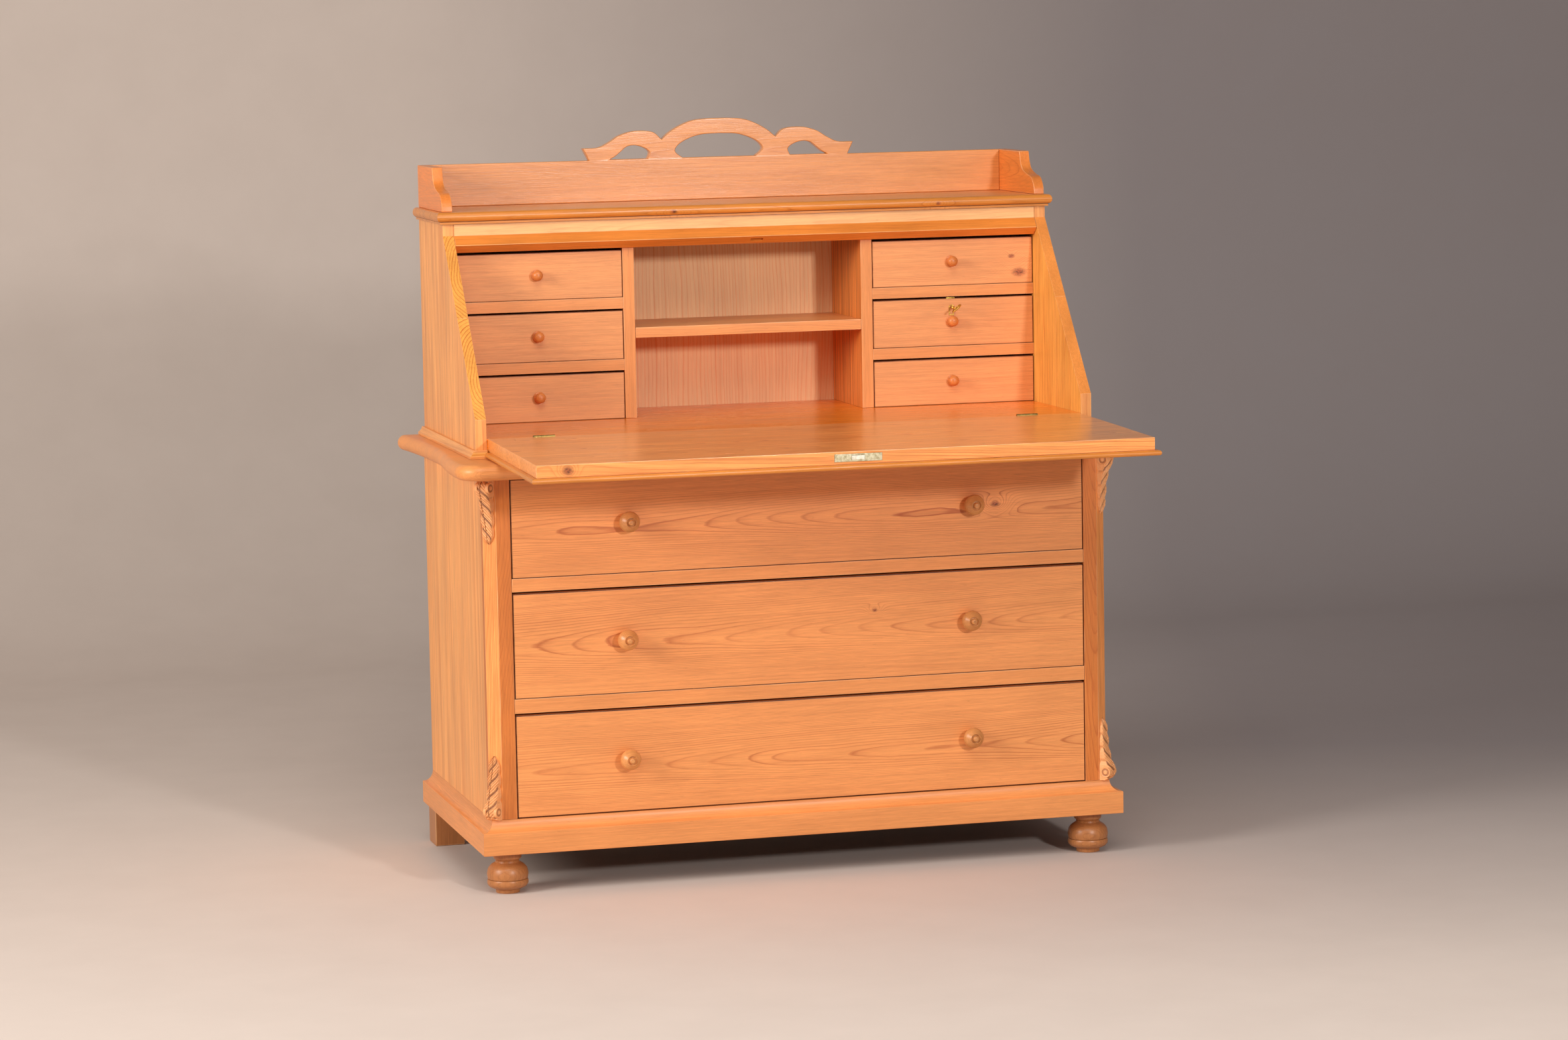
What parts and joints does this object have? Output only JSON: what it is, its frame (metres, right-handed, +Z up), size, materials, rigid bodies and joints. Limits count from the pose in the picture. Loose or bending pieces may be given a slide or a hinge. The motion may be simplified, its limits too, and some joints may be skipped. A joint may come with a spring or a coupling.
{
  "type": "slant front desk",
  "caption": "Stripped pine slant-front desk with open fall front, pigeonhole, small drawers, long drawers, carved corbels, coved plinth and pierced gallery.",
  "frame": {"origin": "floor level, under the middle of the desk's bounding box with the fall front open", "axes": "+Z up, the front faces -Y, +X to the right seen from the front"},
  "size_m": [1.2132, 0.8693, 1.3005],
  "materials": {
    "waxed_pine": "waxed, satin",
    "straight_grained_pine": "waxed, satin",
    "pale_turned_pine": "turned and waxed",
    "red_turned_pine": "turned and polished",
    "carved_pine": "carved, worn",
    "aged_brass": "aged",
    "pale_lock_metal": "brushed, pale"
  },
  "bodies": {
    "case": {"back_panel": "straight_grained_pine", "base_board": "waxed_pine", "block_foot_left": "waxed_pine", "block_foot_right": "waxed_pine", "bun_foot_left": "pale_turned_pine", "bun_foot_right": "pale_turned_pine", "carcass_side_left": "straight_grained_pine", "carcass_side_right": "straight_grained_pine", "corbel_lower_left": "carved_pine", "corbel_lower_right": "carved_pine", "corbel_upper_left": "carved_pine", "corbel_upper_right": "carved_pine", "corner_post_left": "waxed_pine", "corner_post_right": "waxed_pine", "drawer_frame_lower": "waxed_pine", "drawer_frame_upper": "waxed_pine", "drawer_nest_left": "straight_grained_pine", "drawer_nest_right": "straight_grained_pine", "gallery_back": "waxed_pine", "gallery_bracket_left": "waxed_pine", "gallery_bracket_right": "waxed_pine", "hinge_left_bed_leaf": "aged_brass", "hinge_right_bed_leaf": "aged_brass", "pigeonhole_shelf": "waxed_pine", "plinth": "waxed_pine", "top_board": "waxed_pine", "top_rail": "waxed_pine", "upper_side_left": "straight_grained_pine", "upper_side_right": "straight_grained_pine", "waist_board": "waxed_pine", "writing_bed": "waxed_pine"},
    "fall_front": {"fall_front": "waxed_pine", "hinge_left_lid_leaf": "aged_brass", "hinge_right_lid_leaf": "aged_brass", "lid_lock": "pale_lock_metal"},
    "lid_lock_bolt": {"lid_lock_bolt": "pale_lock_metal"},
    "drawer_key": {"drawer_key": "aged_brass"},
    "drawer_lock_bolt": {"drawer_lock_bolt": "aged_brass"},
    "long_drawer_top": {"long_drawer_top": "waxed_pine", "long_drawer_top_knob_left": "pale_turned_pine", "long_drawer_top_knob_right": "pale_turned_pine"},
    "long_drawer_middle": {"long_drawer_middle": "waxed_pine", "long_drawer_middle_knob_left": "pale_turned_pine", "long_drawer_middle_knob_right": "pale_turned_pine"},
    "long_drawer_bottom": {"long_drawer_bottom": "waxed_pine", "long_drawer_bottom_knob_left": "pale_turned_pine", "long_drawer_bottom_knob_right": "pale_turned_pine"},
    "small_drawer_left_top": {"small_drawer_left_top": "waxed_pine", "small_drawer_left_top_knob": "red_turned_pine"},
    "small_drawer_left_middle": {"small_drawer_left_middle": "waxed_pine", "small_drawer_left_middle_knob": "red_turned_pine"},
    "small_drawer_left_bottom": {"small_drawer_left_bottom": "waxed_pine", "small_drawer_left_bottom_knob": "red_turned_pine"},
    "small_drawer_right_top": {"small_drawer_right_top": "waxed_pine", "small_drawer_right_top_knob": "red_turned_pine"},
    "small_drawer_right_middle": {"small_drawer_right_middle": "waxed_pine", "small_drawer_right_middle_knob": "red_turned_pine", "drawer_escutcheon": "aged_brass"},
    "small_drawer_right_bottom": {"small_drawer_right_bottom": "waxed_pine", "small_drawer_right_bottom_knob": "red_turned_pine"}
  },
  "joints": [
    {"name": "fall_front_hinge", "type": "hinge", "parent": "case", "child": "fall_front", "pos_m": [0, -0.03462, 0.778], "axis": [1, 0, 0], "range_deg": [-130.38, 0]},
    {"name": "lid_lock_bolt_slide", "type": "slide", "parent": "fall_front", "child": "lid_lock_bolt", "axis": [0, -0.9998, -0.0192], "range_m": [0, 0.008]},
    {"name": "long_drawer_top_slide", "type": "slide", "parent": "case", "child": "long_drawer_top", "axis": [0, -1, 0], "range_m": [0, 0.35]},
    {"name": "long_drawer_middle_slide", "type": "slide", "parent": "case", "child": "long_drawer_middle", "axis": [0, -1, 0], "range_m": [0, 0.35]},
    {"name": "long_drawer_bottom_slide", "type": "slide", "parent": "case", "child": "long_drawer_bottom", "axis": [0, -1, 0], "range_m": [0, 0.35]},
    {"name": "small_drawer_left_top_slide", "type": "slide", "parent": "case", "child": "small_drawer_left_top", "axis": [0, -1, 0], "range_m": [0, 0.15]},
    {"name": "small_drawer_left_middle_slide", "type": "slide", "parent": "case", "child": "small_drawer_left_middle", "axis": [0, -1, 0], "range_m": [0, 0.15]},
    {"name": "small_drawer_left_bottom_slide", "type": "slide", "parent": "case", "child": "small_drawer_left_bottom", "axis": [0, -1, 0], "range_m": [0, 0.15]},
    {"name": "small_drawer_right_top_slide", "type": "slide", "parent": "case", "child": "small_drawer_right_top", "axis": [0, -1, 0], "range_m": [0, 0.15]},
    {"name": "small_drawer_right_middle_slide", "type": "slide", "parent": "case", "child": "small_drawer_right_middle", "axis": [0, -1, 0], "range_m": [0, 0.15]},
    {"name": "small_drawer_right_bottom_slide", "type": "slide", "parent": "case", "child": "small_drawer_right_bottom", "axis": [0, -1, 0], "range_m": [0, 0.15]},
    {"name": "drawer_key_turn", "type": "hinge", "parent": "small_drawer_right_middle", "child": "drawer_key", "pos_m": [0.37855, 0.22445, 0.95415], "axis": [0, 1, 0], "range_deg": [0, 90]},
    {"name": "drawer_lock_bolt_slide", "type": "slide", "parent": "small_drawer_right_middle", "child": "drawer_lock_bolt", "axis": [0, 0, 1], "range_m": [0, 0.006]}
  ],
  "couplings": [
    {"joint": "drawer_lock_bolt_slide", "follows": "drawer_key_turn", "m_per_rad": 0.0038}
  ]
}
